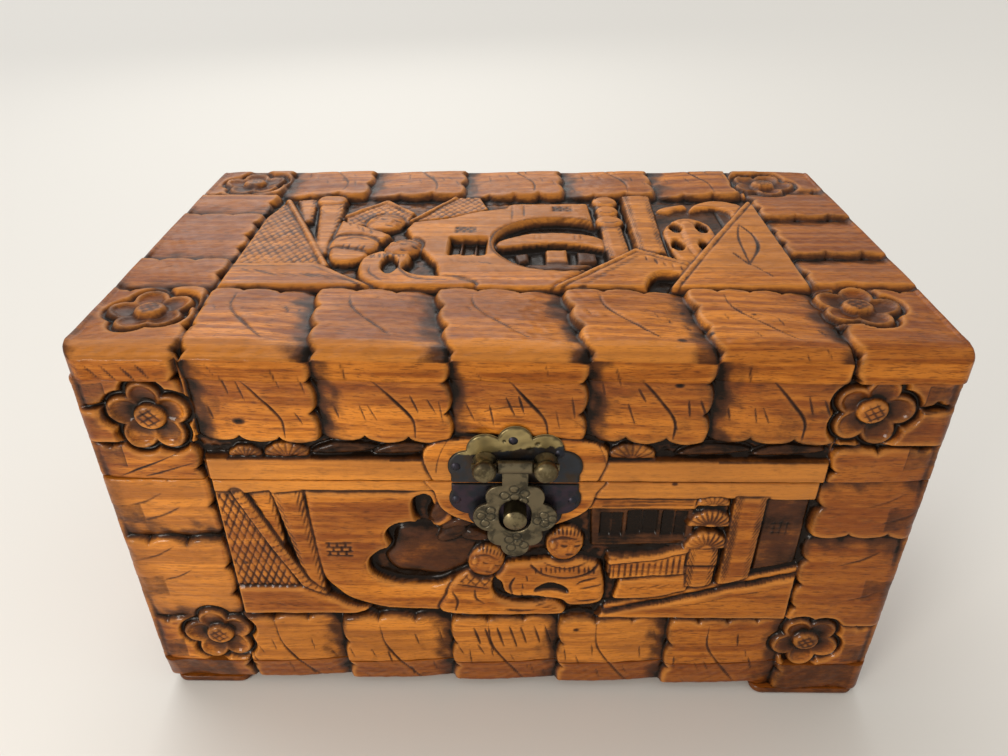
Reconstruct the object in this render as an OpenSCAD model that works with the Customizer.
// A carved wooden keepsake box with a hinged lid, a brass hasp clasp and two butt hinges.
// Millimetres, +Z up. The box stands on Z = 0 with its front towards -Y.

/* [Box] */
// Outside width of the box, left to right
box_w = 300; // [240:1:400]
// Outside depth of the walls, front to back
box_d = 185; // [150:1:260]
// Thickness of the eight wall boards
wall_t = 12; // [11:0.5:16]
// Height of the body's wall boards
body_wall_h = 99; // [90:1:150]
// Height of the lid's wall boards
lid_wall_h = 42.2; // [40:0.1:60]
// Thickness of the top board
top_t = 12; // [9:0.5:16]
// Thickness of the bottom board
bottom_t = 15; // [10:0.5:20]
// Gap between the lid's rim and the body's rim
seam_gap = 0.3; // [0.2:0.05:0.6]
// How far the top board stands proud of the walls
top_over = 0.5; // [0:0.1:1]

/* [Edges] */
// Radius of the box's upright corners in plan
corner_r = 5; // [2:0.5:6]
// How far back the top board's front bevel runs
top_bevel_run = 7; // [3:0.5:12]
// How far down the top board's front bevel falls
top_bevel_drop = 3.4; // [1:0.1:6]
// How far the bottom board's front edge leans in at its foot
bottom_bevel_run = 2.5; // [1:0.5:5]

/* [Feet] */
// Height of the corner feet
foot_h = 4; // [2:0.5:10]
// Width of the left feet along the front
foot_left_w = 33; // [20:1:50]
// Width of the right feet along the front
foot_right_w = 45; // [20:1:50]
// Depth of the feet along the sides
foot_d = 38; // [20:1:50]
// How far the feet stand in from the side faces
foot_side_inset = 1.5; // [0:0.5:6]
// How far the left feet stand in from the front and back faces
foot_left_inset = 3.5; // [0:0.5:6]
// How far the right feet stand in from the front and back faces
foot_right_inset = 0; // [0:0.5:6]
// Radius of the feet's corners in plan
foot_r = 5; // [2:0.5:8]

/* [Dovetails] */
// Width of each dovetail pin at mid thickness
pin_w = 9; // [6:0.5:12]
// Flare of a pin's flanks, rise over run
pin_flare = 0.14; // [0.08:0.01:0.2]
// Distance from a wall's outer edge to its first pin's centre
pin_edge = 7; // [6:0.5:9]
// Distance between the body's dovetail pins
body_pin_pitch = 37.5; // [25:0.5:60]
// Distance between the lid's dovetail pins
lid_pin_pitch = 24.5; // [18:0.5:40]

/* [Carved panels] */
// Depth of the carved grounds below the boards' faces
carve_t = 4; // [2:0.1:4.5]
// Depth of the raised forms in the grounds below the boards' faces
form_t = 0.6; // [0:0.1:1.5]
// How far each border leaf sinks under the next one
leaf_fall = 2.4; // [0.5:0.1:3]
// How far the rows of leaves reach into the panel's edge
leaf_lap = 0.6; // [0.3:0.1:1.5]
// Width of the leaf border at the ends of the front and the top
border_end = 38; // [25:1:50]
// Width of the leaf border at the ends of the side boards
border_side = 30; // [20:1:36]
// Height of the leaf border at the foot of the body's walls
border_foot = 27; // [15:1:35]
// Height of the plain rail under the body's rim
body_rail_h = 8.5; // [5:0.5:12]
// Height of the plain rail above the lid's rim
lid_rail_h = 8.7; // [5:0.5:12]
// Height of the sunk strip above the lid's rail
lid_strip_h = 8; // [5:0.5:12]
// Width of the leaf border along the front of the top board
top_border_front = 49; // [30:1:60]
// Width of the leaf border along the back of the top board
top_border_back = 36; // [25:1:50]
// Width of one leaf lobe along a border
leaf_lobe = 13; // [9:0.5:18]
// How far the leaf lobes reach into a panel
leaf_bite = 3.2; // [1.5:0.1:5]
// Width of the flat ground left for the clasp
clasp_ground_w = 58; // [52:1:70]
// Height of the flat ground left below the rim for the clasp
clasp_ground_h = 27; // [25:0.5:34]

/* [Clasp] */
// Distance of the clasp from the box's middle
clasp_x = 0.8; // [-5:0.1:5]
// Thickness of the two clasp plates
plate_t = 1; // [0.6:0.1:1.6]
// Notch at each end of a plate's straight edge
plate_notch = 1; // [0.5:0.1:2]
// Gap between each plate's straight edge and the rim that it follows
plate_edge = 0.3; // [0.1:0.1:1]
// Radius of the three posts
post_r = 4.2; // [3.6:0.1:5]
// How far the posts reach out from the front face
post_reach = 9.4; // [9:0.1:12]
// Height of the posts' domed ends
post_dome = 1.5; // [0.8:0.1:1.8]
// Radius of the posts' shanks through the boards
shank_r = 1.6; // [1.2:0.1:2.2]
// Distance between the two upper posts
post_gap = 21.4; // [20:0.1:26]
// Height of the upper posts above the lid's rim
post_up = 10.1; // [9:0.1:12]
// Depth of the lower post below the body's rim
post_down = 11.4; // [10:0.1:14]
// Radius of the lock hole across the lower post
lock_r = 1.2; // [0.8:0.1:1.3]
// Radius of the washers inside the box
washer_r = 4; // [3:0.1:6]
// Thickness of the washers inside the box
washer_t = 0.8; // [0.5:0.1:1.5]

/* [Hasp] */
// Thickness of the hasp's plate
hasp_t = 1.4; // [1:0.1:1.8]
// How far the hasp's pivot stands out from the front face
hasp_out = 4.2; // [4:0.1:5]
// Radius of the hasp's pivot pin
hasp_pin_r = 1.3; // [1:0.1:1.4]
// Radius of the hasp's rolled knuckle
knuckle_r = 2.4; // [2:0.1:2.8]
// Gap between the knuckle's ends and the posts
knuckle_play = 0.5; // [0.2:0.1:1]
// Width of the hasp's neck
neck_w = 9.2; // [7:0.1:10]
// Radius of the ends of the hasp's oblong hole
hasp_hole_r = 5.75; // [5.3:0.05:6]
// Distance between the ends' centres in the hasp's hole
hasp_hole_gap = 3.4; // [2:0.1:4]
// How far the hole's middle hangs below the lower post's middle
hasp_hole_drop = 0.6; // [0.3:0.1:1]
// Radius of the hasp's plate about the lower post
hasp_eye_r = 11.5; // [10:0.1:13]
// Radius of the hasp's plate between its lowest lobes
hasp_heart_r = 7.4; // [6:0.1:9]
// Distance of that middle below the lower post
hasp_heart_drop = 8; // [6:0.1:10]

/* [Hinges] */
// Distance of each hinge from the box's middle
hinge_x = 85; // [50:1:95]
// Length of each hinge
hinge_l = 38; // [30:1:60]
// Thickness of the hinge leaves
leaf_t = 1.5; // [1:0.1:1.8]
// Distance from the hinge pin to a leaf's far edge
leaf_w = 9; // [8:0.1:9.2]
// Radius of the hinge knuckles
barrel_r = 2.4; // [2:0.1:2.4]
// Radius of the hinge pins
hinge_pin_r = 1; // [0.8:0.05:1.3]
// Distance of the hinge pins' axis inside the back face
hinge_inset = 2.6; // [2.5:0.1:2.6]
// Length of the lid leaf's middle knuckle
mid_knuckle_l = 14; // [10:0.5:18]
// Play between the hinge knuckles
knuckle_gap = 0.2; // [0.1:0.05:0.4]
// Angle at which the bevelled back edges stop the lid
stop_angle = 102; // [95:1:110]

/* [Screws and tacks] */
// Radius of the hinge screws' shanks
screw_r = 0.9; // [0.7:0.05:1.1]
// Radius of the hinge screws' heads
screw_head_r = 1.9; // [1.5:0.05:2]
// Length of the hinge screws
screw_l = 10; // [7:0.5:14]
// Distance of the outer screws from a leaf's middle
screw_step = 13; // [8:0.5:14]
// Radius of the clasp tacks' shanks
tack_r = 0.7; // [0.5:0.05:0.9]
// Radius of the clasp tacks' heads
tack_head_r = 1.7; // [1.2:0.1:2]
// Height of the clasp tacks' heads
tack_head_h = 0.7; // [0.4:0.1:1]
// Length of the clasp tacks below their heads
tack_l = 8; // [5:0.5:9]

/* [Hidden] */
$fn = 48;
running_fit = 0.05;
hole_fit = 0.05;
recess_fit = 0.15;
cut = 1;
wood = "peru";
red_wood = "sienna";
dark_brass = "darkslategray";
olive_brass = "darkkhaki";
brass = "goldenrod";

front = -box_d / 2;
back = box_d / 2;
floor_z = foot_h + bottom_t;
rim_z = floor_z + body_wall_h;
lid_z = rim_z + seam_gap;
top_z = lid_z + lid_wall_h;
box_h = top_z + top_t;
side_x = box_w / 2;
inner_x = side_x - wall_t;
box_y = (post_reach - top_over) / 2;
pivot_z = lid_z + post_up;
lower_post_z = rim_z - post_down;
hasp_drop = pivot_z - lower_post_z;
pin_y = back - hinge_inset;
pin_z = rim_z + seam_gap / 2;
barrel_room = barrel_r + 0.3;
leaf_seat = hinge_inset + leaf_w;
screw_y = pin_y - (leaf_w + barrel_room) / 2;
pin_cap_t = 0.6;
pin_cap_r = hinge_pin_r + 0.7;
shank_end = wall_t + washer_t;
peen_t = 0.7;
peen_r = shank_r + 0.9;
lock_out = post_reach - post_dome - lock_r - 0.3;
side_panel_w = box_d - 2 * border_side;
top_panel_d = box_d - top_border_front - top_border_back;

// Where the leaves in a border row and in the two upright columns end, as shares of its length
ROW_LEAVES = [0, 0.2, 0.4, 0.6, 0.8, 1];
TOP_LEFT_LEAVES = [0, 0.28, 0.76, 1];
TOP_RIGHT_LEAVES = [0, 0.3, 0.7, 1];
BODY_COLUMN_LEAVES = [0, 0.63, 1];

// The main raised forms of each panel, drawn about the middle of a panel of the size given
TOP_PANEL = [224, 100];
TOP_FORMS = [
    // the left roof, its plank and its trunk
    [[-108, 42], [-103, 42], [-76, -28], [-108, -32]],
    [[-110, -33], [-79, -32], [-56, -50], [-110, -50]],
    [[-93, 50], [-80, 50], [-75, -18], [-82, -18]],
    // two small roofs
    [[-62, 44], [-80, 22], [-48, 26]],
    [[-46, 20], [-27, 50], [-12, 29]],
    // two figures
    [[-77, 16], [-64, 26], [-52, 22], [-50, 10], [-53, -12], [-59, -24], [-77, -12]],
    [[-61, -21], [-52, -9], [-42, -8], [-38, -20], [-34, -35], [-21, -45], [-24, -50], [-50, -50], [-64, -42]],
    // two posts and a pierced rock
    [[35, 50], [46, 50], [46, -20], [35, -20]],
    [[49, 50], [61, 50], [61, -15], [49, -15]],
    [[64, -21], [65, 14], [75, 21], [84, 14], [85, -20], [78, -27]],
    // the gable and the right roof
    [[9, -50], [50, -13], [74, -31], [71, -50]],
    [[106, 41], [58, -50], [110, -50], [110, 41]]
];
TOP_WALL = [
    [-45, 10], [-31, 22], [-15, 31], [0, 35], [7, 40], [37, 40], [38, -20], [20, -44], [13, -50],
    [-27, -50], [-31, -28], [-42, -14]
];
// The moon window: its middle and its radius
TOP_WINDOW = [18, -6, 26];

FRONT_PANEL = [224, 63.5];
FRONT_FORMS = [
    // the left roof, its plank and its posts
    [[-108, 32], [-103, 32], [-82, -16], [-108, -16]],
    [[-110, -16], [-82, -16], [-58, -28], [-64, -31.5], [-110, -31.5]],
    [[-98, 32], [-89, 32], [-87, 6], [-90, 6]],
    [[-88, 32], [-77.5, 32], [-74.5, -18], [-80.5, -18]],
    // two figures
    [[-26, -29], [-25, -18], [-17, -5], [-15, 5], [-8, 7], [-2, 2], [-4, -14], [4, -24], [24, -23], [22, -30]],
    [[-4, -24], [2, -8], [12, 2], [13, 18], [22, 21], [29, 16], [30, 2], [40, -8], [37, -23]],
    // the fence, the tree and the right post
    [[38, -21], [38, 2], [69, 8], [69, -21]],
    [[68, -18], [68, 29], [82.5, 29], [82.5, -18]],
    [[81, 32], [92.5, 32], [92, -16], [81, -16]],
    // the sloping ground
    [[36, -28], [110, -9], [110, -31.5], [34, -31.5]]
];
FRONT_WALL = [[-79, 32], [-77, -6], [-62, -23], [-48, -27], [-10, -28], [-10, -8], [-22, 14], [-24, 32]];
FRONT_OPENING = [[-55, -1], [-52, -10], [-43, -13], [-30, -13], [-18, -6], [-12, 6], [-27, 16], [-43, 17], [-47, 8]];

SIDE_PANEL = [125, 63.5];
SIDE_FORMS = [
    // a roof, its plank and its post
    [[-60, 32], [-54, 32], [-32, -16], [-60, -16]],
    [[-60, -16], [-32, -16], [-20, -28], [-60, -31]],
    [[-35, 32], [-25, 32], [-21.5, -18], [-26.5, -18]],
    // a tree and the sloping ground
    [[41, -18], [41, 28], [53, 28], [52, -18]],
    [[18, -28], [62, -12], [62, -31.5], [16, -31.5]]
];
SIDE_WALL = [[-20, 32], [-17, 2], [-9, -16], [6, -24], [24, -22], [34, -16], [36, 32]];
SIDE_WINDOW = [8, 5, 15];

// Each lobe: distance from the middle, distance from the plate's straight edge, radius
PLATE_LOBES = [[0, 18, 6.2], [10.4, 14, 6.8], [17, 6.9, 6.9]];
// Each tack on the upper plate: distance from the clasp's middle and height above the lid's rim
UPPER_TACKS = [[-0.7, 18.9], [-21, 7.4], [15.6, 13.4]];
// Each tack on the lower plate: distance from the clasp's middle and depth below the body's rim
LOWER_TACKS = [[-21.2, 7.4], [20.8, 7.8]];
// Each lobe of the hasp: distance from the middle, distance below the lower post, radius
HASP_LOBES = [[5.2, -8.1, 5.4], [8.7, 1.3, 6.6], [5.2, 10, 5], [0, 15.3, 5.2]];

// Moves the walls back so that the origin lies under the middle of the whole object
module set_back() {
    translate([0, box_y, 0]) children();
}

// A flat outline drawn in X and Z, made solid from y0 to y1
module facing(y0, y1) {
    translate([0, y1, 0]) rotate([90, 0, 0]) linear_extrude(y1 - y0) children();
}

// A rectangle with round corners, centred
module rounded(w, d, r) {
    square([w - 2 * r, d], center = true);
    square([w, d - 2 * r], center = true);
    for (x = [-1, 1], y = [-1, 1])
        translate([x * (w / 2 - r), y * (d / 2 - r)]) circle(r);
}

// A rod along X, centred at the origin
module rod(r, l) {
    rotate([0, 90, 0]) cylinder(r = r, h = l, center = true);
}

// The row of dovetail pins on one upright edge of a board, z counted from the edge with the first pin
module pin_row(h, pitch) {
    flare = pin_flare * wall_t / 2;
    for (z = [pin_edge : pitch : h - pin_edge])
        polygon([
            [inner_x, z - pin_w / 2 - flare], [side_x, z - pin_w / 2 + flare],
            [side_x, z + pin_w / 2 - flare], [inner_x, z + pin_w / 2 + flare]
        ]);
}

// The pins of a body wall from y0 to y1
module body_pins(y0, y1) {
    translate([0, 0, floor_z]) facing(y0, y1) pin_row(body_wall_h, body_pin_pitch);
}

// The pins of a lid wall from y0 to y1, counted down from the top
module lid_pins(y0, y1) {
    translate([0, 0, top_z]) facing(y0, y1) mirror([0, 1]) pin_row(lid_wall_h, lid_pin_pitch);
}

// Rounds the box's upright corners on the walls from z upwards
module round_corners(z, h) {
    intersection() {
        translate([0, 0, z]) linear_extrude(h) rounded(box_w, box_d, corner_r);
        children();
    }
}

// A front or back board with sockets for the side boards' pins at both ends
module long_board(y, z, h) {
    round_corners(z, h) difference() {
        translate([-side_x, y, z]) cube([box_w, wall_t, h]);
        for (side = [0, 1]) mirror([side, 0, 0]) children();
    }
}

// A right-hand side board with the pins that fill those sockets
module side_board(z, h) {
    round_corners(z, h) union() {
        translate([inner_x, front + wall_t, z]) cube([wall_t, box_d - 2 * wall_t, h]);
        children();
    }
}

// The outline of a carved ground, with the leaves' lobes reaching in from all four borders
module scalloped(w, h) {
    across = max(1, round(w / leaf_lobe));
    up = max(1, round(h / leaf_lobe));
    difference() {
        square([w, h], center = true);
        for (i = [0.5 : across], side = [-1, 1]) {
            r = 0.58 * w / across;
            translate([w * (i / across - 0.5), side * (h / 2 + r - leaf_bite)]) circle(r);
        }
        for (i = [0.5 : up], side = [-1, 1]) {
            r = 0.58 * h / up;
            translate([side * (w / 2 + r - leaf_bite), h * (i / up - 0.5)]) circle(r);
        }
    }
}

// Forms drawn for a panel of one size, stretched to a panel of another
module drawn_for(panel, w, h) {
    scale([w / panel[0], h / panel[1]]) children();
}

module raised_forms(forms) {
    for (form = forms) polygon(form);
}

module top_forms() {
    raised_forms(TOP_FORMS);
    difference() {
        polygon(TOP_WALL);
        translate([TOP_WINDOW[0], TOP_WINDOW[1]]) circle(TOP_WINDOW[2]);
    }
}

module front_forms() {
    raised_forms(FRONT_FORMS);
    difference() {
        polygon(FRONT_WALL);
        polygon(FRONT_OPENING);
    }
}

module side_forms() {
    raised_forms(SIDE_FORMS);
    difference() {
        polygon(SIDE_WALL);
        translate([SIDE_WINDOW[0], SIDE_WINDOW[1]]) circle(SIDE_WINDOW[2]);
    }
}

// The carved ground of a body wall, drawn in X and Z about its middle, with its forms as children
module body_ground(w, panel) {
    h = body_wall_h - border_foot - body_rail_h;
    translate([0, rim_z - body_rail_h - h / 2]) {
        difference() {
            scalloped(w, h);
            drawn_for(panel, w, h) children();
        }
    }
}

// The whole panel of a body wall, which its forms stand a little below
module body_panel(w) {
    h = body_wall_h - border_foot - body_rail_h;
    translate([0, rim_z - body_rail_h - h / 2]) scalloped(w, h);
}

// The steps of a row of leaves from a to b, drawn along X with depths down Y. Each leaf sinks away
// from its lobed end, which is its right end where facing is 1 and its left end where it is -1.
module leaf_steps(marks, a, b, facing) {
    for (i = [1 : len(marks) - 1]) {
        low = a + (b - a) * marks[i - 1];
        high = a + (b - a) * marks[i];
        sunk = facing > 0 ? low : high;
        polygon([[low, cut], [high, cut], [high, 0], [sunk, -leaf_fall], [low, 0]]);
    }
}

// The sunk strip of a lid wall
module lid_ground(w) {
    translate([-w / 2, lid_z + lid_rail_h]) square([w, lid_strip_h]);
}

// Flat ground that stays proud behind the clasp
module clasp_ground() {
    translate([clasp_x - clasp_ground_w / 2, rim_z - clasp_ground_h])
        square([clasp_ground_w, clasp_ground_h + lid_wall_h]);
}

// The bevel that both back boards share at the seam: it clears the hinge pins and stops the lid
module back_bevel() {
    rise = (hinge_inset + cut) * tan(stop_angle / 2);
    translate([side_x + cut, 0, 0]) rotate([0, -90, 0]) linear_extrude(box_w + 2 * cut)
        polygon([
            [pin_z, pin_y], [pin_z + rise, back + cut], [pin_z - rise, back + cut]
        ]);
}

// Room for one hinge in both back boards, for the barrel and the two leaves
module hinge_room(x) {
    long = hinge_l + 2 * (pin_cap_t + running_fit);
    translate([x, pin_y, pin_z]) rod(barrel_room, long);
    translate([x - hinge_l / 2 - recess_fit, back - leaf_seat - recess_fit, rim_z - leaf_t])
        cube([hinge_l + 2 * recess_fit, leaf_w + recess_fit, 2 * leaf_t + seam_gap]);
}

// Screw holes of both hinges, on the body's side (down) or the lid's side (up)
module hinge_screw_holes(up) {
    for (x = [-hinge_x, hinge_x]) at_screws(x, up) cylinder(r = screw_r + hole_fit, h = screw_l + 1);
}

// Places something at each screw of the hinge at x, pointing into the body or into the lid
module at_screws(x, up) {
    for (dx = [-screw_step, 0, screw_step])
        translate([x + dx, screw_y, up ? lid_z : rim_z]) rotate([up ? 0 : 180, 0, 0]) children();
}

// Holes through the front wall for a post's shank and under a plate for its tacks
module shank_hole(x, z) {
    translate([x, front - cut, z]) rotate([-90, 0, 0])
        cylinder(r = shank_r + hole_fit, h = wall_t + 2 * cut);
}

module tack_holes(places, z) {
    for (p = places)
        translate([clasp_x + p[0], front - plate_t - cut, z + p[1]]) rotate([-90, 0, 0])
            cylinder(r = tack_r + hole_fit, h = tack_l + cut + 0.5);
}

// Lower tacks are counted down from the rim
function below(places) = [for (p = places) [p[0], -p[1]]];

module lid_top_board() {
    depth = box_d + 2 * top_over;
    face = front - top_over;
    panel_y = front + top_border_front + top_panel_d / 2;
    panel_w = box_w - 2 * border_end;
    near = front + top_border_front;
    far = back - top_border_back;
    color(red_wood) set_back() difference() {
        intersection() {
            translate([0, 0, top_z]) linear_extrude(top_t)
                rounded(box_w + 2 * top_over, depth, corner_r);
            translate([side_x + cut, 0, 0]) rotate([0, -90, 0]) linear_extrude(box_w + 2 * cut)
                polygon([
                    [top_z, face], [box_h - top_bevel_drop, face], [box_h, face + top_bevel_run],
                    [box_h, -face], [top_z, -face]
                ]);
        }
        translate([0, panel_y, box_h - carve_t]) linear_extrude(carve_t + cut) difference() {
            scalloped(panel_w, top_panel_d);
            drawn_for(TOP_PANEL, panel_w, top_panel_d) top_forms();
        }
        translate([0, panel_y, box_h - form_t]) linear_extrude(form_t + cut) scalloped(panel_w, top_panel_d);
        facing(face - cut, near + leaf_lap) translate([0, box_h])
            leaf_steps(ROW_LEAVES, -panel_w / 2, panel_w / 2, -1);
        facing(far - leaf_lap, back + top_over + cut) translate([0, box_h])
            leaf_steps(ROW_LEAVES, -panel_w / 2, panel_w / 2, 1);
        top_column(-side_x - top_over - cut, leaf_lap - panel_w / 2) leaf_steps(TOP_LEFT_LEAVES, near, far, 1);
        top_column(panel_w / 2 - leaf_lap, side_x + top_over + cut) leaf_steps(TOP_RIGHT_LEAVES, near, far, -1);
    }
}

// Steps drawn along Y and cut into the top from x0 to x1
module top_column(x0, x1) {
    translate([x0, 0, box_h]) rotate([90, 0, 90]) linear_extrude(x1 - x0) children();
}

module lid_front_board() {
    color(wood) set_back() difference() {
        long_board(front, lid_z, lid_wall_h) lid_pins(front - cut, front + wall_t + cut);
        facing(front - cut, front + carve_t) difference() {
            lid_ground(box_w - 2 * border_end);
            clasp_ground();
        }
        for (side = [-1, 1]) shank_hole(clasp_x + side * post_gap / 2, pivot_z);
        tack_holes(UPPER_TACKS, lid_z);
    }
}

module lid_back_board() {
    color(wood) set_back() difference() {
        long_board(back - wall_t, lid_z, lid_wall_h) lid_pins(back - wall_t - cut, back + cut);
        back_bevel();
        for (x = [-hinge_x, hinge_x]) hinge_room(x);
        hinge_screw_holes(true);
    }
}

// The right-hand lid side; the left-hand one is its mirror image
module lid_side() {
    difference() {
        side_board(lid_z, lid_wall_h) {
            lid_pins(front, front + wall_t);
            lid_pins(back - wall_t, back);
        }
        translate([side_x, 0, 0]) rotate([0, 0, 90]) facing(-cut, carve_t)
            lid_ground(side_panel_w);
        back_bevel();
    }
}

module lid_left_board() {
    color(wood) set_back() mirror([1, 0, 0]) lid_side();
}

module lid_right_board() {
    color(wood) set_back() lid_side();
}

module body_front_board() {
    panel_w = box_w - 2 * border_end;
    foot_row = floor_z + border_foot;
    color(wood) set_back() difference() {
        long_board(front, floor_z, body_wall_h) body_pins(front - cut, front + wall_t + cut);
        facing(front - cut, front + carve_t) difference() {
            body_ground(panel_w, FRONT_PANEL) front_forms();
            clasp_ground();
        }
        facing(front - cut, front + form_t) difference() {
            body_panel(panel_w);
            clasp_ground();
        }
        front_row() leaf_steps(ROW_LEAVES, -panel_w / 2, panel_w / 2, -1);
        front_column(-side_x + wall_t, -panel_w / 2) leaf_steps(BODY_COLUMN_LEAVES, foot_row, rim_z, 1);
        front_column(panel_w / 2, side_x - wall_t) leaf_steps(BODY_COLUMN_LEAVES, foot_row, rim_z, -1);
        shank_hole(clasp_x, lower_post_z);
        tack_holes(below(LOWER_TACKS), rim_z);
    }
}

// Steps drawn along X and cut into the front over the height of its lowest row of leaves
module front_row() {
    translate([0, front, floor_z - cut]) linear_extrude(border_foot + cut) mirror([0, 1]) children();
}

// Steps drawn up Z and cut into the front from x0 to x1
module front_column(x0, x1) {
    translate([x0, front, 0]) mirror([0, 1, 0]) rotate([0, -90, 0]) mirror([0, 0, 1])
        linear_extrude(x1 - x0) children();
}

module body_back_board() {
    color(wood) set_back() difference() {
        long_board(back - wall_t, floor_z, body_wall_h) body_pins(back - wall_t - cut, back + cut);
        back_bevel();
        for (x = [-hinge_x, hinge_x]) hinge_room(x);
        hinge_screw_holes(false);
    }
}

// The right-hand body side; the left-hand one is its mirror image
module body_side() {
    difference() {
        side_board(floor_z, body_wall_h) {
            body_pins(front, front + wall_t);
            body_pins(back - wall_t, back);
        }
        translate([side_x, 0, 0]) rotate([0, 0, 90]) {
            facing(-cut, carve_t) body_ground(side_panel_w, SIDE_PANEL) side_forms();
            facing(-cut, form_t) body_panel(side_panel_w);
        }
        back_bevel();
    }
}

module body_left_board() {
    color(wood) set_back() mirror([1, 0, 0]) body_side();
}

module body_right_board() {
    color(wood) set_back() body_side();
}

module bottom_board() {
    color(red_wood) set_back() intersection() {
        translate([0, 0, foot_h]) linear_extrude(bottom_t) rounded(box_w, box_d, corner_r);
        translate([side_x + cut, 0, 0]) rotate([0, -90, 0]) linear_extrude(box_w + 2 * cut)
            polygon([
                [foot_h, front + bottom_bevel_run], [floor_z, front], [floor_z, back], [foot_h, back]
            ]);
    }
}

// A corner foot, on the side given by x and y
module foot(x, y) {
    w = x < 0 ? foot_left_w : foot_right_w;
    inset = x < 0 ? foot_left_inset : foot_right_inset;
    place = [x * (side_x - foot_side_inset - w / 2), y * (back - inset - foot_d / 2), 0];
    color(red_wood) set_back() translate(place) linear_extrude(foot_h) rounded(w, foot_d, foot_r);
}

// The outline of a clasp plate, drawn upwards from its straight edge
module plate_outline() {
    for (side = [-1, 1], lobe = PLATE_LOBES)
        translate([side * lobe[0], lobe[1]]) circle(lobe[2]);
    for (lobe = PLATE_LOBES)
        translate([-lobe[0], 0]) square([2 * lobe[0] + 0.01, lobe[1]]);
    edge = PLATE_LOBES[2];
    half = edge[0] + edge[2] - plate_notch;
    translate([-half, 0]) square([2 * half, edge[1]]);
}

module clasp_upper_plate() {
    color(dark_brass) set_back() difference() {
        translate([clasp_x, 0, lid_z + plate_edge]) facing(front - plate_t, front)
            plate_outline();
        for (side = [-1, 1]) shank_hole(clasp_x + side * post_gap / 2, pivot_z);
        tack_holes(UPPER_TACKS, lid_z);
    }
}

module clasp_lower_plate() {
    color(dark_brass) set_back() difference() {
        translate([clasp_x, 0, rim_z - plate_edge]) facing(front - plate_t, front)
            mirror([0, 1]) plate_outline();
        shank_hole(clasp_x, lower_post_z);
        tack_holes(below(LOWER_TACKS), rim_z);
    }
}

// A domed post on its shank, peened over its washer inside the wall, with a hole across it
module post(x, z, hole_out, hole_r) {
    dome_r = (post_r ^ 2 + post_dome ^ 2) / (2 * post_dome);
    color(brass) set_back() translate([x, front, z]) rotate([90, 0, 0]) difference() {
        union() {
            translate([0, 0, plate_t]) cylinder(r = post_r, h = post_reach - post_dome - plate_t);
            intersection() {
                translate([0, 0, post_reach - dome_r]) sphere(dome_r);
                translate([0, 0, post_reach - post_dome]) cylinder(r = post_r, h = 2 * post_dome);
            }
            translate([0, 0, -shank_end]) cylinder(r = shank_r, h = shank_end + plate_t);
            translate([0, 0, -shank_end - peen_t]) cylinder(r1 = shank_r, r2 = peen_r, h = peen_t);
        }
        translate([0, 0, hole_out]) rod(hole_r, 3 * post_r);
    }
}

module clasp_post_left() {
    post(clasp_x - post_gap / 2, pivot_z, hasp_out, hasp_pin_r + hole_fit);
}

module clasp_post_right() {
    post(clasp_x + post_gap / 2, pivot_z, hasp_out, hasp_pin_r + hole_fit);
}

module clasp_post_lower() {
    post(clasp_x, lower_post_z, lock_out, lock_r);
}

module washer(x, z) {
    translate([x, front + wall_t, z]) rotate([-90, 0, 0]) difference() {
        cylinder(r = washer_r, h = washer_t);
        translate([0, 0, -cut]) cylinder(r = shank_r + hole_fit, h = washer_t + 2 * cut);
    }
}

module clasp_lid_washers() {
    color(brass) set_back()
        for (side = [-1, 1]) washer(clasp_x + side * post_gap / 2, pivot_z);
}

module clasp_body_washer() {
    color(brass) set_back() washer(clasp_x, lower_post_z);
}

// Domed tacks, driven through a plate into the front wall
module tacks(places, z) {
    dome_r = (tack_head_r ^ 2 + tack_head_h ^ 2) / (2 * tack_head_h);
    color(brass) set_back() for (p = places)
        translate([clasp_x + p[0], front - plate_t, z + p[1]]) rotate([90, 0, 0]) {
            translate([0, 0, -tack_l]) cylinder(r = tack_r, h = tack_l);
            intersection() {
                translate([0, 0, tack_head_h - dome_r]) sphere(dome_r);
                cylinder(r = tack_head_r, h = 2 * tack_head_h);
            }
        }
}

module clasp_upper_tacks() {
    tacks(UPPER_TACKS, lid_z);
}

module clasp_lower_tacks() {
    tacks(below(LOWER_TACKS), rim_z);
}

// The hasp's lobed plate, drawn about the lower post
module hasp_outline() {
    difference() {
        union() {
            for (side = [-1, 1], lobe = HASP_LOBES)
                translate([side * lobe[0], -lobe[1]]) circle(lobe[2]);
            circle(hasp_eye_r);
            translate([0, -hasp_heart_drop]) circle(hasp_heart_r);
            translate([-neck_w / 2, 0]) square([neck_w, hasp_drop]);
        }
        translate([0, -hasp_hole_drop]) {
            for (end = [-1, 1]) translate([0, end * hasp_hole_gap / 2]) circle(hasp_hole_r);
            square([2 * hasp_hole_r, hasp_hole_gap], center = true);
        }
    }
}

module hasp() {
    long = post_gap - 2 * (post_r + knuckle_play);
    color(olive_brass) set_back() difference() {
        union() {
            translate([clasp_x, 0, lower_post_z])
                facing(front - hasp_out - hasp_t / 2, front - hasp_out + hasp_t / 2)
                hasp_outline();
            translate([clasp_x, front - hasp_out, pivot_z]) rod(knuckle_r, long);
        }
        translate([clasp_x, front - hasp_out, pivot_z]) rod(hasp_pin_r + running_fit, 2 * long);
    }
}

module hasp_pin() {
    long = post_gap + 2 * post_r + 0.8;
    color(brass) set_back() translate([clasp_x, front - hasp_out, pivot_z]) rod(hasp_pin_r, long);
}

// One leaf of a hinge, without its knuckles: flat on the body's rim or on the lid's rim
module leaf_plate(x, up) {
    long = leaf_w - barrel_room;
    difference() {
        translate([x - hinge_l / 2, back - leaf_seat, up ? lid_z : rim_z - leaf_t])
            cube([hinge_l, long, leaf_t]);
        at_screws(x, up) screw(hole_fit, cut);
    }
}

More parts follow.
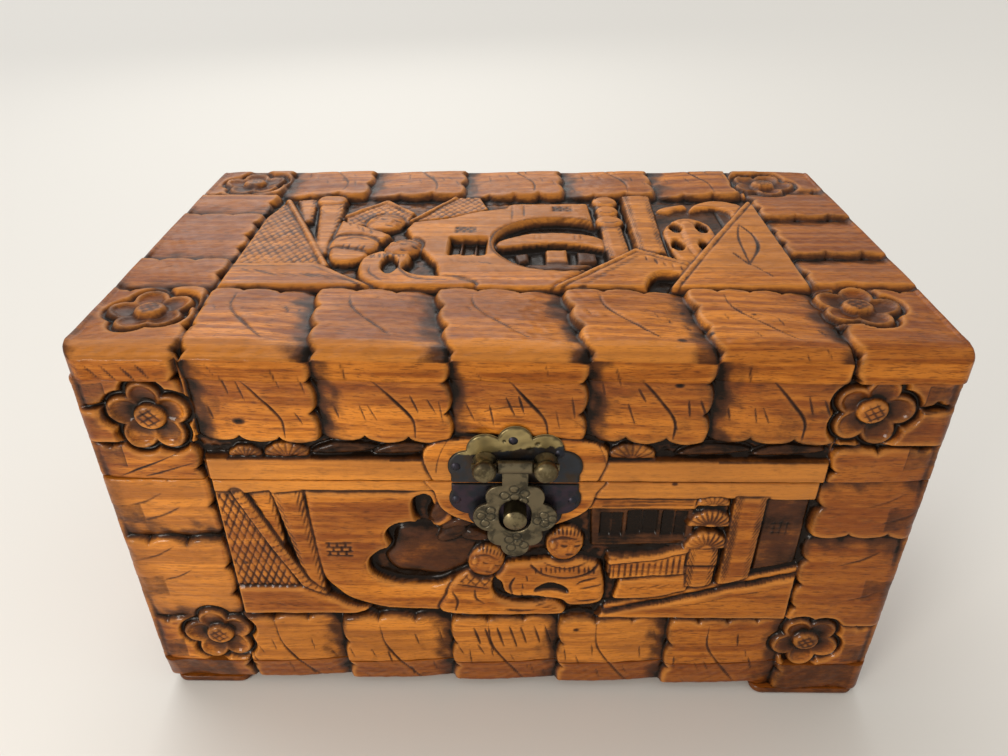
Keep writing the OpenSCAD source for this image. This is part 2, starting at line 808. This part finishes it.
// A countersunk screw with its head at the leaf's face, grown by a gap where it is used as a hole
module screw(gap, over) {
    sink = screw_head_r - screw_r;
    cylinder(r1 = screw_head_r + gap, r2 = screw_r + gap, h = sink);
    cylinder(r = screw_r + gap, h = screw_l);
    translate([0, 0, -over]) cylinder(r = screw_head_r + gap, h = over + 0.01);
}

// Stretches of the barrel that belong to one leaf, with the webs that join them to it
module knuckles(x, places, length, up) {
    for (dx = places) {
        translate([x + dx, pin_y, pin_z]) rod(barrel_r, length);
        translate([x + dx - length / 2, pin_y - barrel_room - 0.01, up ? lid_z : rim_z - leaf_t])
            cube([length, barrel_room, leaf_t]);
    }
}

module hinge_bore(x) {
    translate([x, pin_y, pin_z]) rod(hinge_pin_r + running_fit, 2 * hinge_l);
}

module body_leaf(x) {
    length = (hinge_l - mid_knuckle_l) / 2 - knuckle_gap;
    place = (hinge_l - length) / 2;
    color(brass) set_back() difference() {
        union() {
            leaf_plate(x, false);
            knuckles(x, [-place, place], length, false);
        }
        hinge_bore(x);
    }
}

module lid_leaf(x) {
    color(brass) set_back() difference() {
        union() {
            leaf_plate(x, true);
            knuckles(x, [0], mid_knuckle_l, true);
        }
        hinge_bore(x);
    }
}

// A hinge pin with a flat cap at each end
module hinge_pin(x) {
    color(brass) set_back() translate([x, pin_y, pin_z]) {
        rod(hinge_pin_r, hinge_l + pin_cap_t);
        for (side = [-1, 1])
            translate([side * (hinge_l + pin_cap_t) / 2, 0, 0]) rod(pin_cap_r, pin_cap_t);
    }
}

module hinge_screws(up) {
    slot_w = 0.5;
    slot_t = 0.45;
    color(brass) set_back() for (x = [-hinge_x, hinge_x]) at_screws(x, up) difference() {
        screw(0, 0);
        translate([0, 0, slot_t / 2 - 0.01]) cube([3 * screw_head_r, slot_w, slot_t], center = true);
    }
}

module foot_front_left() { foot(-1, -1); }
module foot_front_right() { foot(1, -1); }
module foot_back_left() { foot(-1, 1); }
module foot_back_right() { foot(1, 1); }
module hinge_left_body_leaf() { body_leaf(-hinge_x); }
module hinge_left_lid_leaf() { lid_leaf(-hinge_x); }
module hinge_left_pin() { hinge_pin(-hinge_x); }
module hinge_right_body_leaf() { body_leaf(hinge_x); }
module hinge_right_lid_leaf() { lid_leaf(hinge_x); }
module hinge_right_pin() { hinge_pin(hinge_x); }
module hinge_body_screws() { hinge_screws(false); }
module hinge_lid_screws() { hinge_screws(true); }

lid_top_board();
lid_front_board();
lid_back_board();
lid_left_board();
lid_right_board();
body_front_board();
body_back_board();
body_left_board();
body_right_board();
bottom_board();
foot_front_left();
foot_front_right();
foot_back_left();
foot_back_right();
clasp_upper_plate();
clasp_lower_plate();
clasp_post_left();
clasp_post_right();
clasp_post_lower();
clasp_lid_washers();
clasp_body_washer();
clasp_upper_tacks();
clasp_lower_tacks();
hasp();
hasp_pin();
hinge_left_body_leaf();
hinge_left_lid_leaf();
hinge_left_pin();
hinge_right_body_leaf();
hinge_right_lid_leaf();
hinge_right_pin();
hinge_body_screws();
hinge_lid_screws();
